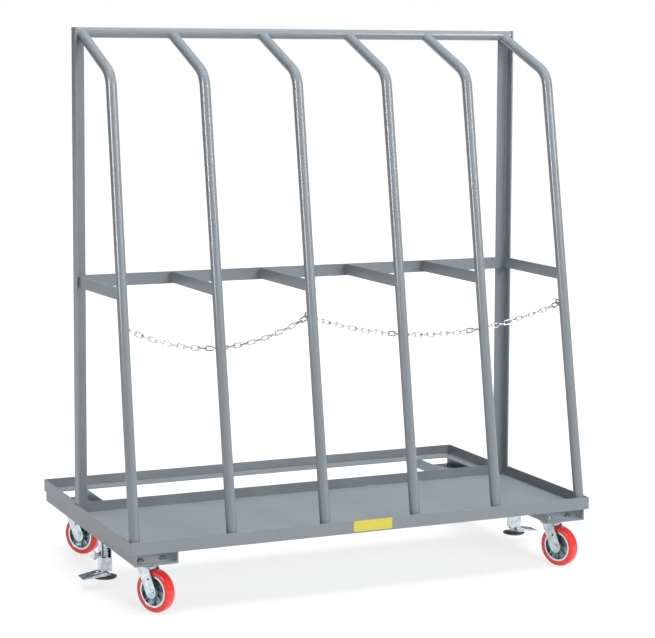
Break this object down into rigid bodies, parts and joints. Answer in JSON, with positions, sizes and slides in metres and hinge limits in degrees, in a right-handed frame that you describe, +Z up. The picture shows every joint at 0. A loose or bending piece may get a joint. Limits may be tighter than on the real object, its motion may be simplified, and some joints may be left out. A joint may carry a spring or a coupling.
{
  "type": "mobile vertical bar rack",
  "caption": "Tall wheeled steel rack with leaning tube dividers, a plate deck, retaining chains, swivel casters and floor locks, for bars stored upright.",
  "frame": {"origin": "on the floor below the centre of the rack's outline", "axes": "+X to the rack's right seen from the front, +Y to the rear, +Z up"},
  "size_m": [1.584, 0.914, 1.698],
  "materials": {
    "paint": "semi-gloss powder coat",
    "zinc": "bright zinc plate",
    "hub_iron": "machined faces with dark recesses",
    "red_tread": "smooth polyurethane",
    "pad_rubber": "matt",
    "chain_steel": "dull zinc plate"
  },
  "bodies": {
    "rack": {"front_rail": "paint", "left_deck_rail": "paint", "right_deck_rail": "paint", "cross_rail": "paint", "deck": "paint", "rear_rail": "paint", "left_rear_rail": "paint", "right_rear_rail": "paint", "left_channel": "paint", "right_channel": "paint", "left_upright": "paint", "right_upright": "paint", "top_rail": "paint", "mid_rail": "paint", "chain_eyes": "paint", "tube_1": "paint", "tube_2": "paint", "tube_3": "paint", "tube_4": "paint", "tube_5": "paint", "tube_6": "paint", "arm_1": "paint", "arm_2": "paint", "arm_3": "paint", "arm_4": "paint", "arm_5": "paint", "arm_6": "paint", "mounting_bolts": "zinc", "plate_front_left": "zinc", "plate_front_right": "zinc", "plate_rear_left": "zinc", "plate_rear_right": "zinc", "left_lock_housing": "zinc", "right_lock_housing": "zinc"},
    "caster_front_left": {"fork_front_left": "zinc", "axle_front_left": "zinc"},
    "wheel_front_left": {"hub_front_left": "hub_iron", "tread_front_left": "red_tread"},
    "caster_front_right": {"fork_front_right": "zinc", "axle_front_right": "zinc"},
    "wheel_front_right": {"hub_front_right": "hub_iron", "tread_front_right": "red_tread"},
    "caster_rear_left": {"fork_rear_left": "zinc", "axle_rear_left": "zinc"},
    "wheel_rear_left": {"hub_rear_left": "hub_iron", "tread_rear_left": "red_tread"},
    "caster_rear_right": {"fork_rear_right": "zinc", "axle_rear_right": "zinc"},
    "wheel_rear_right": {"hub_rear_right": "hub_iron", "tread_rear_right": "red_tread"},
    "left_floor_lock": {"left_lock_plunger": "zinc", "left_lock_pad": "pad_rubber", "left_lock_pedal": "zinc"},
    "left_release": {"left_lock_release": "zinc"},
    "right_floor_lock": {"right_lock_plunger": "zinc", "right_lock_pad": "pad_rubber", "right_lock_pedal": "zinc"},
    "right_release": {"right_lock_release": "zinc"},
    "left_chain": {"left_chain": "chain_steel"},
    "right_chain": {"right_chain": "chain_steel"}
  },
  "joints": [
    {"name": "swivel_front_left", "type": "hinge", "parent": "rack", "child": "caster_front_left", "pos_m": [-0.6803, -0.361, 0.135], "axis": [0, 0, 1], "continuous": true},
    {"name": "roll_front_left", "type": "hinge", "parent": "caster_front_left", "child": "wheel_front_left", "pos_m": [-0.6623, -0.39218, 0.0635], "axis": [0.866, 0.5, 0], "continuous": true},
    {"name": "swivel_front_right", "type": "hinge", "parent": "rack", "child": "caster_front_right", "pos_m": [0.6803, -0.361, 0.135], "axis": [0, 0, 1], "continuous": true},
    {"name": "roll_front_right", "type": "hinge", "parent": "caster_front_right", "child": "wheel_front_right", "pos_m": [0.69437, -0.39414, 0.0635], "axis": [0.9205, 0.3907, 0], "continuous": true},
    {"name": "swivel_rear_left", "type": "hinge", "parent": "rack", "child": "caster_rear_left", "pos_m": [-0.6803, 0.361, 0.135], "axis": [0, 0, 1], "continuous": true},
    {"name": "roll_rear_left", "type": "hinge", "parent": "caster_rear_left", "child": "wheel_rear_left", "pos_m": [-0.66017, 0.33115, 0.0635], "axis": [0.829, 0.5592, 0], "continuous": true},
    {"name": "swivel_rear_right", "type": "hinge", "parent": "rack", "child": "caster_rear_right", "pos_m": [0.6803, 0.361, 0.135], "axis": [0, 0, 1], "continuous": true},
    {"name": "roll_rear_right", "type": "hinge", "parent": "caster_rear_right", "child": "wheel_rear_right", "pos_m": [0.69664, 0.32892, 0.0635], "axis": [0.891, 0.454, 0], "continuous": true},
    {"name": "left_lock_press", "type": "slide", "parent": "rack", "child": "left_floor_lock", "axis": [0, 0, -1], "range_m": [0, 0.028], "stiffness_N_per_m": 400, "springref_m": -0.02},
    {"name": "left_release_tilt", "type": "hinge", "parent": "rack", "child": "left_release", "pos_m": [-0.736, -0.072, 0.098], "axis": [0, -1, 0], "range_deg": [0, 12], "stiffness_Nm_per_rad": 0.6, "springref_deg": -11.46},
    {"name": "right_lock_press", "type": "slide", "parent": "rack", "child": "right_floor_lock", "axis": [0, 0, -1], "range_m": [0, 0.028], "stiffness_N_per_m": 400, "springref_m": -0.02},
    {"name": "right_release_tilt", "type": "hinge", "parent": "rack", "child": "right_release", "pos_m": [0.736, -0.072, 0.098], "axis": [0, 1, 0], "range_deg": [0, 12], "stiffness_Nm_per_rad": 0.6, "springref_deg": -11.46},
    {"name": "left_chain_swing", "type": "hinge", "parent": "rack", "child": "left_chain", "pos_m": [-0.4404, -0.30375, 0.826], "axis": [1, 0, 0], "range_deg": [-6, 26]},
    {"name": "right_chain_swing", "type": "hinge", "parent": "rack", "child": "right_chain", "pos_m": [0.3, -0.30375, 0.826], "axis": [1, 0, 0], "range_deg": [-6, 26]}
  ]
}
